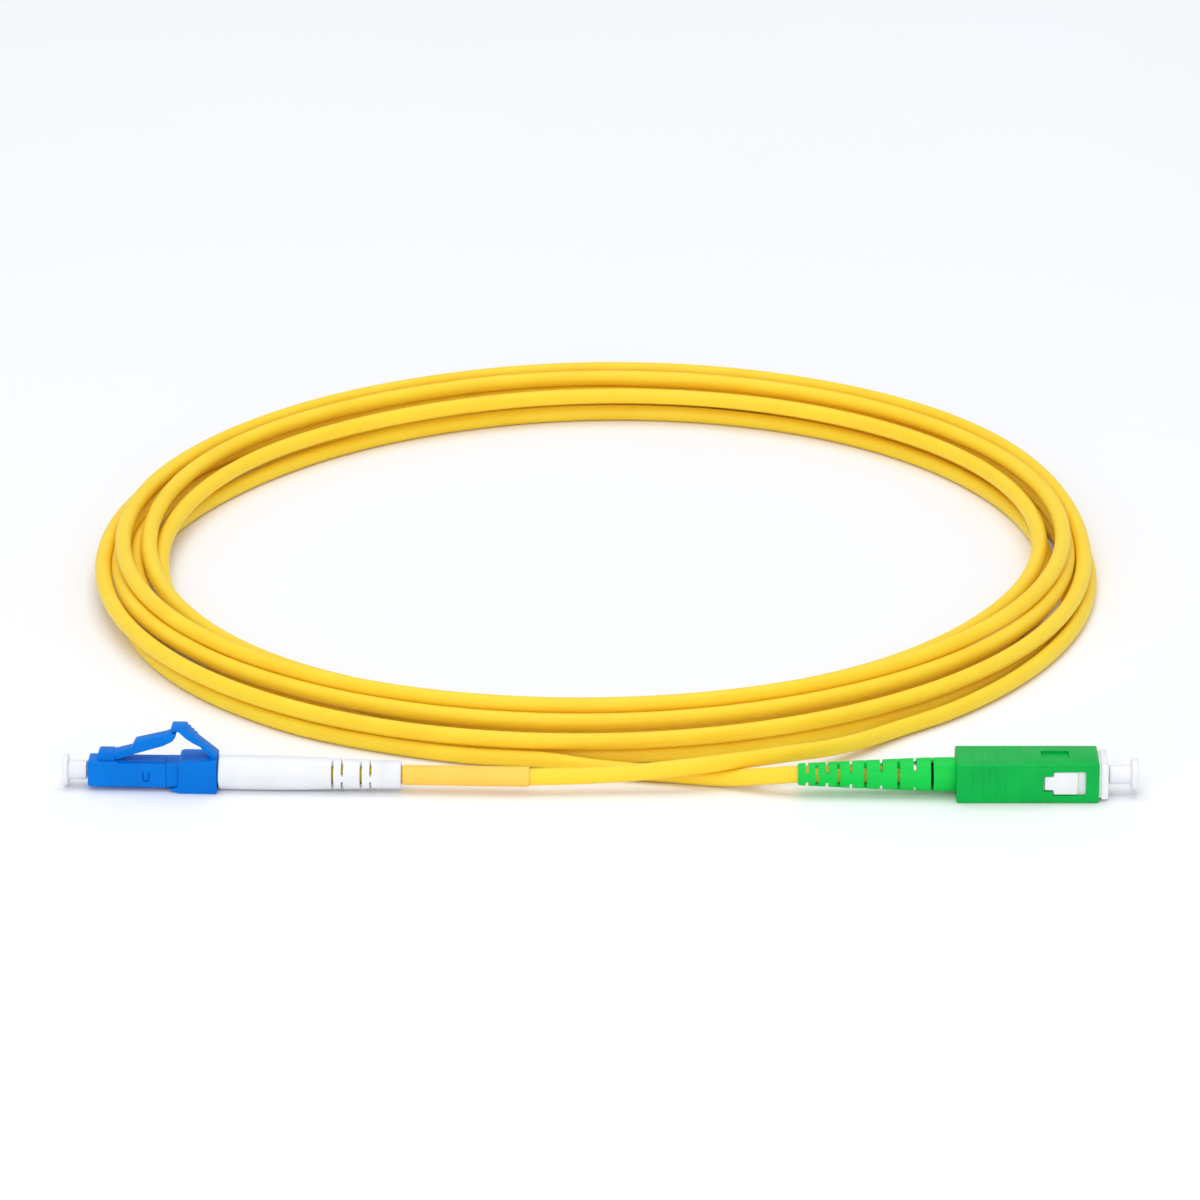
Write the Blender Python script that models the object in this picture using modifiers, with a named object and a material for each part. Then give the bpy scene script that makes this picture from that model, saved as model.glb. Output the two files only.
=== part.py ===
"""Fiber optic patch cord: an LC plug and an SC angled plug on one coiled 3 mm cable.

Metres, +Z up.  Both plugs lie on the ground plane with their axes along X, the LC plug at -X and the
SC plug at +X.  The coil lies behind them, at +Y.  The origin is on the ground, midway between the tips.
"""

import math

import bpy
import bmesh
from mathutils import Matrix, Vector

MM = 0.001
GAP = 0.3                       # gap left between pieces that rest against each other, in millimetres

# ---------------------------------------------------------------- driving dimensions, in millimetres
TIP_X = 94.4                    # outer ends of both dust caps, at -X and +X
CABLE_D = 3.0

LC_AXIS_Z = 3.1                 # height of the LC plug's axis
LC_NOSE_X = -90.0               # front face of the LC housing
LC_HOUSING = 4.6                # side of the square LC housing
LC_REAR_X = -76.2               # rear face of the LC housing
LC_CLIP_X = (-73.6, -67.2)      # front and rear faces of the trigger clip
LC_CLIP = 6.0                   # side of the square trigger clip
LC_BOOT_X = (-67.0, -34.9)
LC_SLEEVE_X = (-34.6, -12.4)
LC_FERRULE_D = 1.25
LC_LATCH_W = 2.6
LC_TRIGGER_W = 3.4
LC_TRIGGER_RIBS = 4
LC_BORE_R = 1.5                 # bore that holds the LC spring and ferrule flange
# slots cut into the boots, by the way they open: place along X and distance of the slot's floor from the axis
LC_SLOTS = {"Y": ((-46.9, 0.5), (-41.9, 0.5)), "Z": ((-45.2, 0.5), (-40.2, 0.5))}
LC_SLOT_W = 0.42
LC_LATCH_PIVOT = (-84.9, 6.0)   # X and Z of the latch arm's flexing root
LC_TRIGGER_PIVOT = (-67.9, 6.3)  # X and Z of the trigger arm's flexing root
LC_YAW = -2.45                  # degrees that the LC plug, built along X, is turned on the ground at the end
LC_YAW_X = -5.0                 # the point on the X axis that it is turned about
SHIFT_Y = -1.06                 # what everything is moved by at the end, to centre the two plugs on the origin

SC_AXIS_Z = 3.7
SC_GRIP_X = (62.35, 87.35)      # rear and front faces of the grip
SC_GRIP_Y = 9.0
SC_GRIP_Z = 7.4
SC_WALL = 0.65
SC_FRAME_X = (66.6, 89.0)
SC_FERRULE_D = 2.5
SC_BOOT_X = (34.7, 64.2)
SC_SLOTS = {"Y": ((38.0, 0.5), (41.8, 0.5), (46.5, 0.5), (52.3, 0.5), (58.2, 0.5)),
            "Z": ((36.3, 1.15), (39.8, 1.3), (44.0, 1.45), (49.3, 1.65), (55.2, 1.9))}
SC_SLOT_W = 0.5
SC_WINDOW = (77.6, 79.2, 85.0)  # rear end, step and front end of the window in the grip's sides
SC_WINDOW_HALF = (1.3, 2.1)     # half-heights of the window behind and ahead of its step
BUFFER_R = 0.45

COIL_CENTRE = (-0.4, 110.5)
COIL_R = (81.5, 96.0)           # inner and outer radius of the wound bundle
COIL_HEIGHT = 9.2
COIL_CORNER = 2.5
COIL_STEPS = 60

# the straight and curved stretches of cable outside the coil, as route points
LC_ROUTE = [(-61.348, 2.411, 3.1), (-47.961, 1.838, 3.1), (-33.974, 1.24, 3.1), (-21.984, 0.727, 3.1),
            (-11.994, 0.299, 3.1), (-3.0, 0.62, 3.2), (6.0, 1.0, 3.6), (14.0, 1.5, 4.3), (21.0, 2.8, 4.7), (27.5, 5.2, 4.6),
            (34.0, 8.9, 4.1), (40.0, 13.2, 3.2), (46.5, 19.2, 2.3), (53.0, 26.0, 1.7)]
SC_ROUTE = [(57.6, 0.0, 3.7), (50.0, 0.0, 3.7), (42.0, 0.0, 3.7), (34.2, 0.0, 3.7), (28.0, 1.2, 2.8),
            (21.0, 3.2, 1.7), (13.5, 5.0, 1.6), (6.0, 6.5, 1.6), (-2.0, 8.6, 1.6), (-9.5, 11.6, 1.6)]

# ---------------------------------------------------------------- colours
BLUE = (0.004, 0.15, 0.68)
GREEN = (0.004, 0.42, 0.07)
YELLOW = (0.98, 0.62, 0.03)
SLEEVE_YELLOW = (0.98, 0.62, 0.08)
WHITE = (0.86, 0.86, 0.85)
CAP_WHITE = (0.82, 0.84, 0.87)
CERAMIC = (0.9, 0.9, 0.88)
STEEL = (0.6, 0.6, 0.62)
NICKEL = (0.7, 0.68, 0.64)

parts = None                    # the collections, made in main
guides = None


# ---------------------------------------------------------------- scene and materials
def clear_scene():
    for obj in list(bpy.data.objects):
        bpy.data.objects.remove(obj, do_unlink=True)


def new_collection(name):
    collection = bpy.data.collections.new(name)
    bpy.context.scene.collection.children.link(collection)
    return collection


def material(name, colour, roughness, metallic=0.0, alpha=1.0):
    mat = bpy.data.materials.get(name)
    if mat is None:
        mat = bpy.data.materials.new(name)
        mat.use_nodes = True
        shader = mat.node_tree.nodes["Principled BSDF"]
        shader.inputs["Base Color"].default_value = (*colour, 1.0)
        shader.inputs["Roughness"].default_value = roughness
        shader.inputs["Metallic"].default_value = metallic
        shader.inputs["Alpha"].default_value = alpha
    return mat


def finish(obj, mat):
    """Give a part its material and its smooth shading."""
    obj.data.materials.clear()
    obj.data.materials.append(mat)
    obj.data.shade_smooth()
    obj.data.set_sharp_from_angle(angle=math.radians(40))
    return obj


# ---------------------------------------------------------------- basic shapes
def link_mesh(name, mesh, collection, location=(0, 0, 0), rotation=(0, 0, 0)):
    obj = bpy.data.objects.new(name, mesh)
    obj.location = [v * MM for v in location]
    obj.rotation_euler = rotation
    collection.objects.link(obj)
    return obj


def box(name, x, y, z, collection=None):
    """A box between the pairs x, y and z, in millimetres, with its origin at its centre."""
    mesh = bpy.data.meshes.new(name)
    bm = bmesh.new()
    bmesh.ops.create_cube(bm, size=1.0)
    size = Vector((x[1] - x[0], y[1] - y[0], z[1] - z[0])) * MM
    bmesh.ops.scale(bm, vec=size, verts=bm.verts)
    bm.to_mesh(mesh)
    bm.free()
    centre = ((x[0] + x[1]) / 2, (y[0] + y[1]) / 2, (z[0] + z[1]) / 2)
    return link_mesh(name, mesh, collection or parts, centre)


def loop_mesh(name, profile, closed=True):
    """The edges of a profile of (radius, height) points, in millimetres, ready to be turned about Z."""
    mesh = bpy.data.meshes.new(name)
    bm = bmesh.new()
    verts = [bm.verts.new((r * MM, 0.0, z * MM)) for r, z in profile]
    for a, b in zip(verts, verts[1:]):
        bm.edges.new((a, b))
    if closed:
        bm.edges.new((verts[-1], verts[0]))
    bm.to_mesh(mesh)
    bm.free()
    return mesh


def turn(obj, steps):
    screw = obj.modifiers.new("turn", "SCREW")
    screw.axis = "Z"
    screw.steps = steps
    screw.render_steps = steps
    screw.use_merge_vertices = True
    screw.merge_threshold = 0.00001
    return obj


def turned(name, outer, inner=None, axis_z=0.0, steps=24, collection=None):
    """A turned piece on an axis along X: outer and inner are (x, radius) points in order of rising x.

    Without an inner side the piece is solid, and outer starts and ends on the axis.
    """
    profile = [(r, x) for x, r in reversed(outer)]
    if inner:
        profile += [(r, x) for x, r in inner]
    mesh = loop_mesh(name, profile, closed=inner is not None)
    obj = link_mesh(name, mesh, collection or parts, (0, 0, axis_z), (0, math.pi / 2, 0))
    return turn(obj, steps)


def rod(name, x, radius, axis_z, steps=24, collection=None):
    outer = [(x[0], 0), (x[0], radius), (x[1], radius), (x[1], 0)]
    return turned(name, outer, None, axis_z, steps, collection)


def to_mesh(obj):
    """Turn a curve object into a closed mesh object of the same name, in the same place."""
    depsgraph = bpy.context.evaluated_depsgraph_get()
    mesh = bpy.data.meshes.new_from_object(obj.evaluated_get(depsgraph))
    bm = bmesh.new()
    bm.from_mesh(mesh)
    bmesh.ops.remove_doubles(bm, verts=bm.verts, dist=0.000001)
    bm.to_mesh(mesh)
    bm.free()
    name = obj.name
    collection = obj.users_collection[0]
    matrix = obj.matrix_world.copy()
    bpy.data.objects.remove(obj, do_unlink=True)
    solid = bpy.data.objects.new(name, mesh)
    solid.matrix_world = matrix
    collection.objects.link(solid)
    return solid


def curve_object(name, curve, collection, location=(0, 0, 0), rotation=(0, 0, 0)):
    obj = link_mesh(name, curve, collection, location, rotation)
    bpy.context.view_layer.update()
    return obj


def plate(name, outline, width, pivot=(0.0, 0.0), collection=None):
    """A flat outline of (x, z) points in millimetres, extruded evenly across the plane y = 0.

    The object's origin is at pivot, a point (x, z) on that plane.
    """
    curve = bpy.data.curves.new(name, "CURVE")
    curve.dimensions = "2D"
    curve.fill_mode = "BOTH"
    curve.extrude = width / 2 * MM
    spline = curve.splines.new("POLY")
    spline.points.add(len(outline) - 1)
    for point, (x, z) in zip(spline.points, outline):
        point.co = ((x - pivot[0]) * MM, (z - pivot[1]) * MM, 0.0, 1.0)
    spline.use_cyclic_u = True
    place = (pivot[0], 0.0, pivot[1])
    return to_mesh(curve_object(name, curve, collection or parts, place, (math.pi / 2, 0, 0)))


def wire(name, points, diameter, resolution=2, collection=None):
    """A round bar along (x, y, z) points in millimetres, closed at both ends."""
    curve = bpy.data.curves.new(name, "CURVE")
    curve.dimensions = "3D"
    curve.bevel_depth = diameter / 2 * MM
    curve.bevel_resolution = resolution
    curve.use_fill_caps = True
    spline = curve.splines.new("POLY")
    spline.points.add(len(points) - 1)
    for point, place in zip(spline.points, points):
        point.co = (place[0] * MM, place[1] * MM, place[2] * MM, 1.0)
    return to_mesh(curve_object(name, curve, collection or parts))


# ---------------------------------------------------------------- operations
def bevel(obj, width, segments=2):
    edge = obj.modifiers.new("rounded edges", "BEVEL")
    edge.width = width * MM
    edge.segments = segments
    edge.limit_method = "ANGLE"
    edge.angle_limit = math.radians(40)
    return obj


def combine(obj, other, operation):
    other.display_type = "WIRE"
    other.hide_render = True
    step = obj.modifiers.new(operation.lower(), "BOOLEAN")
    step.operation = operation
    step.solver = "EXACT"
    step.object = other
    return obj


def cut(obj, other):
    return combine(obj, other, "DIFFERENCE")


def join(obj, other):
    return combine(obj, other, "UNION")


def catmull_rom(points, count):
    """A smooth curve through the points, read at count evenly spaced parameters."""
    knots = [Vector(p) for p in points]
    knots = [2 * knots[0] - knots[1]] + knots + [2 * knots[-1] - knots[-2]]
    spans = len(points) - 1
    result = []
    for i in range(count):
        t = i * spans / (count - 1)
        k = min(int(t), spans - 1)
        u = t - k
        a, b, c, d = knots[k:k + 4]
        bend = (2 * a - 5 * b + 4 * c - d) * u * u + (3 * b - a - 3 * c + d) * u ** 3
        result.append(0.5 * (2 * b + (c - a) * u + bend))
    return result


def spring_points(x, mean_radius, turns, axis_z, per_turn=10):
    """A compression spring along X, with its axis at height axis_z."""
    count = turns * per_turn + 1
    points = []
    for i in range(count):
        angle = 2 * math.pi * i / per_turn
        along = x[0] + (x[1] - x[0]) * i / (count - 1)
        points.append((along, mean_radius * math.cos(angle), axis_z + mean_radius * math.sin(angle)))
    return points


def boot_slots(boot, name, slots, width, reach, axis_z, across):
    """Cut a pair of slots into a boot at each place, leaving a rib between the two.

    across is "Y" for slots that open to the sides and "Z" for slots that open up and down.
    """
    for i, (x, core) in enumerate(slots):
        for side in (-1, 1):
            span = (x - width / 2, x + width / 2)
            deep = sorted((side * core, side * reach))
            if across == "Y":
                slot = box(f"{name}_{i}_{side}", span, deep, (axis_z - reach, axis_z + reach), guides)
            else:
                high = (axis_z + deep[0], axis_z + deep[1])
                slot = box(f"{name}_{i}_{side}", span, (-reach, reach), high, guides)
            cut(boot, slot)


# ---------------------------------------------------------------- LC plug
def lc_housing(blue):
    half = LC_HOUSING / 2
    z = (LC_AXIS_Z - half, LC_AXIS_Z + half)
    housing = bevel(box("lc_housing", (LC_NOSE_X, LC_REAR_X), (-half, half), z), 0.25)
    root = box("lc_latch_root", (-88.4, LC_LATCH_PIVOT[0] - 0.4), (-LC_LATCH_W / 2, LC_LATCH_W / 2),
               (z[1] - 0.4, z[1] + 1.65), guides)
    join(housing, bevel(root, 0.2))
    cut(housing, rod("lc_nose_bore", (LC_NOSE_X - 1, -86.9), 1.15, LC_AXIS_Z, 24, guides))
    cut(housing, rod("lc_main_bore", (-87.4, LC_REAR_X + 1), LC_BORE_R, LC_AXIS_Z, 24, guides))
    for side in (-1, 1):
        y = sorted((side * (half - 0.3), side * (half + 1)))
        mark = box(f"lc_side_recess_{side}", (-80.2, -79.2), y, (LC_AXIS_Z - 1.1, LC_AXIS_Z + 0.6), guides)
        cut(housing, mark)
    return finish(housing, blue)


def lc_latch(blue):
    z = LC_AXIS_Z
    outline = [(-85.0, z + 2.65), (-84.2, z + 2.65), (-81.9, z + 3.7), (-76.6, z + 5.2), (-75.3, z + 5.9),
               (-74.8, z + 6.3), (-74.4, z + 7.05), (-74.3, z + 7.55), (-75.5, z + 7.5), (-76.3, z + 7.2),
               (-81.6, z + 5.9), (-82.3, z + 4.75), (-85.0, z + 3.9)]
    return finish(bevel(plate("lc_latch", outline, LC_LATCH_W, LC_LATCH_PIVOT), 0.12), blue)


def lc_trigger(blue):
    z = LC_AXIS_Z
    top = [(-75.0, z + 8.75), (-73.0, z + 8.8)]
    for i in range(LC_TRIGGER_RIBS):
        x = -72.9 + 2.2 * i / LC_TRIGGER_RIBS
        high = z + 8.75 - 2.3 * i / LC_TRIGGER_RIBS
        top += [(x + 0.15, high), (x + 0.45, high - 0.1), (x + 0.5, high - 0.5)]
    outline = [(-67.5, z + 3.35), (-67.3, z + 3.7)] + list(reversed(top))
    outline += [(-75.3, z + 8.35), (-75.1, z + 8.2), (-73.8, z + 7.95), (-72.5, z + 6.5), (-71.5, z + 5.6),
                (-70.2, z + 5.0), (-68.7, z + 3.35)]
    return finish(plate("lc_trigger", outline, LC_TRIGGER_W, LC_TRIGGER_PIVOT), blue)


def lc_rear_body(blue):
    half = LC_HOUSING / 2 - 0.05
    z = (LC_AXIS_Z - half, LC_AXIS_Z + half)
    body = bevel(box("lc_rear_body", (LC_REAR_X + GAP, -68.5), (-half, half), z), 0.2)
    join(body, rod("lc_crimp_seat", (-69.0, -61.9), 1.7, LC_AXIS_Z, 24, guides))
    cut(body, rod("lc_rear_bore", (-77.0, -60.0), 0.75, LC_AXIS_Z, 16, guides))
    return finish(body, blue)


def lc_trigger_clip(blue):
    half = LC_CLIP / 2
    z = (LC_AXIS_Z - half, LC_AXIS_Z + half)
    clip = bevel(box("lc_trigger_clip", LC_CLIP_X, (-half, half), z), 0.4, 3)
    hollow = LC_HOUSING / 2 + 0.2
    room = box("lc_clip_hollow", (LC_CLIP_X[0] - 1, LC_CLIP_X[1] + 1), (-hollow, hollow),
               (LC_AXIS_Z - hollow, LC_AXIS_Z + hollow), guides)
    cut(clip, room)
    return finish(clip, blue)


def lc_boot(white):
    x0, x1 = LC_BOOT_X
    outer = [(x0, 2.75), (x0 + 0.25, 3.0), (-56.0, 3.05), (-49.0, 2.85), (-38.5, 2.6), (-38.2, 2.5),
             (x1 - 0.3, 2.5), (x1, 2.35)]
    inner = [(x0, 2.5), (-57.6, 2.5), (-57.0, 1.7), (x1, 1.7)]
    boot = turned("lc_boot", outer, inner, LC_AXIS_Z, 24)
    for across, slots in LC_SLOTS.items():
        boot_slots(boot, f"lc_slot_{across}", slots, LC_SLOT_W, 4.0, LC_AXIS_Z, across)
    return finish(boot, white)


def lc_inner_parts(mats):
    z = LC_AXIS_Z
    ferrule = LC_FERRULE_D / 2
    tip = [(-92.9, 0), (-92.9, 0.35), (-92.6, ferrule), (-86.4, ferrule), (-86.4, 0)]
    finish(turned("lc_ferrule", tip, None, z, 24), mats["ceramic"])
    collar = [(-87.1, 1.25), (-86.9, 1.35), (-84.6, 1.35), (-84.6, 0.85), (-80.5, 0.85)]
    bore = [(-87.1, ferrule + 0.06), (-86.1, ferrule + 0.06), (-86.1, 0.53), (-80.5, 0.53)]
    finish(turned("lc_ferrule_flange", collar, bore, z, 24), mats["nickel"])
    coil = spring_points((-84.1, -76.3), 1.18, 7, z)
    finish(wire("lc_spring", coil, 0.28, 1), mats["steel"])
    finish(rod("lc_buffer", (-85.8, -63.4), BUFFER_R, z, 12), mats["buffer"])
    sleeve_outer = [(-66.6, 2.15), (-66.4, 2.25), (-62.0, 2.25), (-61.3, 1.95), (-58.2, 1.95)]
    sleeve_inner = [(-66.6, 1.82), (-61.6, 1.82), (-61.3, 1.6), (-58.2, 1.6)]
    finish(turned("lc_crimp_sleeve", sleeve_outer, sleeve_inner, z, 24), mats["nickel"])
    cap_outer = [(-TIP_X, 0), (-TIP_X, 2.65), (-TIP_X + 0.15, 2.8), (-93.5, 2.8), (-93.3, 1.8),
                 (LC_NOSE_X - GAP, 1.8), (LC_NOSE_X - GAP, ferrule + 0.1), (-93.3, ferrule + 0.1), (-93.3, 0)]
    finish(turned("lc_dust_cap", cap_outer, None, z, 24), mats["cap"])
    x0, x1 = LC_SLEEVE_X
    jacket_outer = [(x0, 1.78), (x1 - 0.2, 1.78), (x1, 1.7)]
    jacket_inner = [(x0, 1.6), (x1, 1.6)]
    finish(turned("lc_jacket_sleeve", jacket_outer, jacket_inner, z, 24), mats["sleeve"])


# ---------------------------------------------------------------- SC plug
def stepped_outline(x, half):
    """The outline of the window, or of the pad that fills it: a narrow rear part and a taller front part."""
    z = SC_AXIS_Z
    lower = [(x[0], z - half[0]), (x[1], z - half[0]), (x[1], z - half[1]), (x[2], z - half[1])]
    upper = [(a, 2 * z - b) for a, b in reversed(lower)]
    return lower + upper


def sc_grip(green):
    y = SC_GRIP_Y / 2
    high = SC_GRIP_Z / 2
    z = (SC_AXIS_Z - high, SC_AXIS_Z + high)
    grip = bevel(box("sc_grip", SC_GRIP_X, (-y, y), z), 0.35, 3)
    room_z = high - SC_WALL + 0.05
    room = box("sc_grip_hollow", (SC_GRIP_X[0] - 1, SC_GRIP_X[1] + 1), (SC_WALL - y, y - SC_WALL),
               (SC_AXIS_Z - room_z, SC_AXIS_Z + room_z), guides)
    cut(grip, room)
    window = stepped_outline(SC_WINDOW, SC_WINDOW_HALF)
    cut(grip, plate("sc_window", window, SC_GRIP_Y + 2, (81.0, SC_AXIS_Z), guides))
    cut(grip, box("sc_key_recess", (77.3, 82.2), (-1.7, 1.7), (z[1] - 0.4, z[1] + 1), guides))
    return finish(grip, green)


def sc_plug_frame(white):
    y = SC_GRIP_Y / 2 - SC_WALL - 0.12
    high = SC_GRIP_Z / 2 - SC_WALL - 0.07
    z = (SC_AXIS_Z - high, SC_AXIS_Z + high)
    nose_x = SC_GRIP_X[1] + GAP
    frame = bevel(box("sc_plug_frame", (SC_FRAME_X[0], nose_x + 0.2), (-y, y), z), 0.2)
    nose = box("sc_frame_nose", (nose_x, SC_FRAME_X[1]), (-y - 0.25, y + 0.25),
               (z[0] - 0.25, z[1] + 0.25), guides)
    join(frame, bevel(nose, 0.3))
    pad = stepped_outline((SC_WINDOW[0] + GAP, SC_WINDOW[1] + 0.2, SC_WINDOW[2] - 1.45),
                          (SC_WINDOW_HALF[0] - 0.2, SC_WINDOW_HALF[1] - 0.2))
    join(frame, plate("sc_window_pad", pad, SC_GRIP_Y - 0.4, (81.0, SC_AXIS_Z), guides))
    cut(frame, rod("sc_nose_bore", (85.5, 90.0), 1.7, SC_AXIS_Z, 32, guides))
    cut(frame, rod("sc_frame_bore", (65.0, 86.4), 2.5, SC_AXIS_Z, 32, guides))
    return finish(frame, white)


def sc_boot(green):
    x0, x1 = SC_BOOT_X
    outer = [(x0, 1.8), (x0 + 0.3, 1.95), (60.0, 3.0), (x1, 3.0)]
    inner = [(x0, 1.62), (53.6, 1.62), (54.2, 2.55), (x1, 2.55)]
    boot = turned("sc_boot", outer, inner, SC_AXIS_Z, 24)
    for across, slots in SC_SLOTS.items():
        boot_slots(boot, f"sc_slot_{across}", slots, SC_SLOT_W, 4.5, SC_AXIS_Z, across)
    return finish(boot, green)


def sc_inner_parts(mats):
    z = SC_AXIS_Z
    ferrule = SC_FERRULE_D / 2
    tip = [(81.2, 0), (81.2, ferrule), (91.3, ferrule), (91.9, 0.9), (91.9, 0)]
    body = turned("sc_ferrule", tip, None, z, 24)
    wedge = box("sc_tip_cut", (-2.0, 2.0), (-3.0, 3.0), (-3.0, 3.0), guides)
    wedge.location = Vector((93.65, 0.0, z)) * MM
    wedge.rotation_euler = (0, math.radians(8), 0)
    finish(cut(body, wedge), mats["ceramic"])
    collar = [(78.5, 1.6), (83.0, 1.6), (83.0, 2.3), (85.9, 2.3), (86.05, 2.15)]
    bore = [(78.5, 0.55), (80.9, 0.55), (80.9, ferrule + 0.06), (86.05, ferrule + 0.06)]
    finish(turned("sc_ferrule_flange", collar, bore, z, 24), mats["nickel"])
    finish(wire("sc_spring", spring_points((74.9, 82.4), 2.02, 6, z), 0.48, 1), mats["steel"])
    finish(rod("sc_buffer", (60.2, 80.5), BUFFER_R, z, 12), mats["buffer"])
    seat_outer = [(58.4, 1.9), (64.6, 1.9), (64.6, 2.8), (66.3, 2.8), (66.3, 2.38), (74.3, 2.38), (74.5, 2.2)]
    seat_inner = [(58.4, 0.9), (74.5, 0.9)]
    finish(turned("sc_stop_ring", seat_outer, seat_inner, z, 24), mats["white"])
    sleeve_outer = [(54.9, 1.95), (57.9, 1.95), (58.6, 2.45), (64.1, 2.45), (64.3, 2.35)]
    sleeve_inner = [(54.9, 1.6), (58.0, 1.6), (58.3, 2.02), (64.3, 2.02)]
    finish(turned("sc_crimp_sleeve", sleeve_outer, sleeve_inner, z, 24), mats["nickel"])
    cap_outer = [(92.6, 0), (92.6, ferrule + 0.08), (SC_FRAME_X[1] + GAP, ferrule + 0.08),
                 (SC_FRAME_X[1] + GAP, 1.95), (93.0, 1.95), (93.2, 2.9), (TIP_X - 0.15, 2.9), (TIP_X, 2.75),
                 (TIP_X, 0)]
    finish(turned("sc_dust_cap", cap_outer, None, z, 24), mats["cap"])


# ---------------------------------------------------------------- cable
def cable_coil(yellow):
    """The wound bundle's outer shape: a turned ring with rounded corners."""
    r0, r1 = COIL_R
    corner = COIL_CORNER
    centres = [(r1 - corner, COIL_HEIGHT - corner, 90), (r1 - corner, corner, 0),
               (r0 + corner, corner, -90), (r0 + corner, COIL_HEIGHT - corner, -180)]
    profile = []
    for cx, cz, start in centres:
        for step in range(3):
            angle = math.radians(start - 45 * step)
            profile.append((cx + corner * math.cos(angle), cz + corner * math.sin(angle)))
    ring = link_mesh("cable_coil", loop_mesh("cable_coil", profile), parts, (*COIL_CENTRE, 0))
    return finish(turn(ring, COIL_STEPS), yellow)


def main():
    global parts, guides
    clear_scene()
    parts = new_collection("fiber_optic_patch_cord")
    guides = new_collection("cutters")
    blue = material("blue_plastic", BLUE, 0.35)
    green = material("green_plastic", GREEN, 0.35)
    yellow = material("yellow_jacket", YELLOW, 0.45)
    white = material("white_plastic", WHITE, 0.4)
    mats = {
        "white": white,
        "cap": material("cap_plastic", CAP_WHITE, 0.3, alpha=0.7),
        "ceramic": material("ceramic", CERAMIC, 0.2),
        "nickel": material("nickel_plate", NICKEL, 0.25, 1.0),
        "steel": material("spring_steel", STEEL, 0.3, 1.0),
        "buffer": material("buffer_coating", WHITE, 0.45),
        "sleeve": material("sleeve_yellow", SLEEVE_YELLOW, 0.35),
    }
    lc_housing(blue)
    lc_latch(blue)
    lc_rear_body(blue)
    lc_trigger_clip(blue)
    lc_trigger(blue)
    lc_boot(white)
    lc_inner_parts(mats)
    pivot = Matrix.Translation((LC_YAW_X * MM, 0.0, 0.0))
    placing = pivot @ Matrix.Rotation(math.radians(LC_YAW), 4, "Z") @ pivot.inverted()
    for obj in [*parts.objects, *guides.objects]:
        obj.matrix_basis = placing @ obj.matrix_basis
    sc_grip(green)
    sc_plug_frame(white)
    sc_boot(green)
    sc_inner_parts(mats)
    cable_coil(yellow)
    finish(wire("cable_tail_lc", catmull_rom(LC_ROUTE, 34), CABLE_D), yellow)
    finish(wire("cable_tail_sc", catmull_rom(SC_ROUTE, 26), CABLE_D), yellow)
    centring = Matrix.Translation((0.0, SHIFT_Y * MM, 0.0))
    for obj in [*parts.objects, *guides.objects]:
        obj.matrix_basis = centring @ obj.matrix_basis


main()
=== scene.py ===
"""The looks of the fiber optic patch cord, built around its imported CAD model.

Sizes are in millimetres unless a name says otherwise, in the CAD model's own frame: the LC plug lies at -X,
the SC plug at +X, both on the ground, and the coil lies behind them at +Y. Both plugs are drawn with their
axes along X; placing() then moves each piece to where its CAD node lies, which turns the LC plug a little.
"""

import math

import bpy
import bmesh
from mathutils import Matrix, Vector


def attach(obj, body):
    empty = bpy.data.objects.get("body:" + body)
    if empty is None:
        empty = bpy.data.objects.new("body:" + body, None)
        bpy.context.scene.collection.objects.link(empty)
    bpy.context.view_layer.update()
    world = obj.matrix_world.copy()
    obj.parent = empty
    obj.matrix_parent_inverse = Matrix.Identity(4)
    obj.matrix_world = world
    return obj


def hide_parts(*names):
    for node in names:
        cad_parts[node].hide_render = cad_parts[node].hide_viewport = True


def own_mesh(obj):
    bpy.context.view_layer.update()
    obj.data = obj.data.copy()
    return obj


MM = 0.001
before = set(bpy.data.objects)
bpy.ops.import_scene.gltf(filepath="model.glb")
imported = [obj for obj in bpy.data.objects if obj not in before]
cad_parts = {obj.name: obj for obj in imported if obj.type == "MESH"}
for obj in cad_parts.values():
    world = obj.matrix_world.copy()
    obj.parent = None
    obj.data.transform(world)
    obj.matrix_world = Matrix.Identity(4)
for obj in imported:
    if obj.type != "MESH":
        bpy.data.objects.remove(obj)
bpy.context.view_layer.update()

# ---------------------------------------------------------------- sizes
CABLE_R = 1.5
LC_Z = 3.1                      # height of the LC plug's axis
SC_Z = 3.7                      # height of the SC plug's axis
FERRULE_R = {"lc": 0.625, "sc": 1.25}
LC_YAW = -2.45                  # degrees that the LC plug, drawn along X, is turned on the ground
LC_YAW_X = -5.0                 # the point on the X axis that it is turned about
SHIFT_Y = -1.06                 # what everything drawn here is moved by, as in the CAD model

# the stretches of cable outside the coil, with the same route points as the CAD tubes
LC_ROUTE = [(-61.348, 2.411, 3.1), (-47.961, 1.838, 3.1), (-33.974, 1.24, 3.1), (-21.984, 0.727, 3.1),
            (-11.994, 0.299, 3.1), (-3.0, 0.62, 3.2), (6.0, 1.0, 3.6), (14.0, 1.5, 4.3), (21.0, 2.8, 4.7),
            (27.5, 5.2, 4.6), (34.0, 8.9, 4.1), (40.0, 13.2, 3.2), (46.5, 19.2, 2.3), (53.0, 26.0, 1.7)]
SC_ROUTE = [(57.6, 0.0, 3.7), (50.0, 0.0, 3.7), (42.0, 0.0, 3.7), (34.2, 0.0, 3.7), (28.0, 1.2, 2.8),
            (21.0, 3.2, 1.7), (13.5, 5.0, 1.6), (6.0, 6.5, 1.6), (-2.0, 8.6, 1.6), (-9.5, 11.6, 1.6)]
SC_JOIN = [(-26.0, 14.8, 1.5)]

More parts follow.
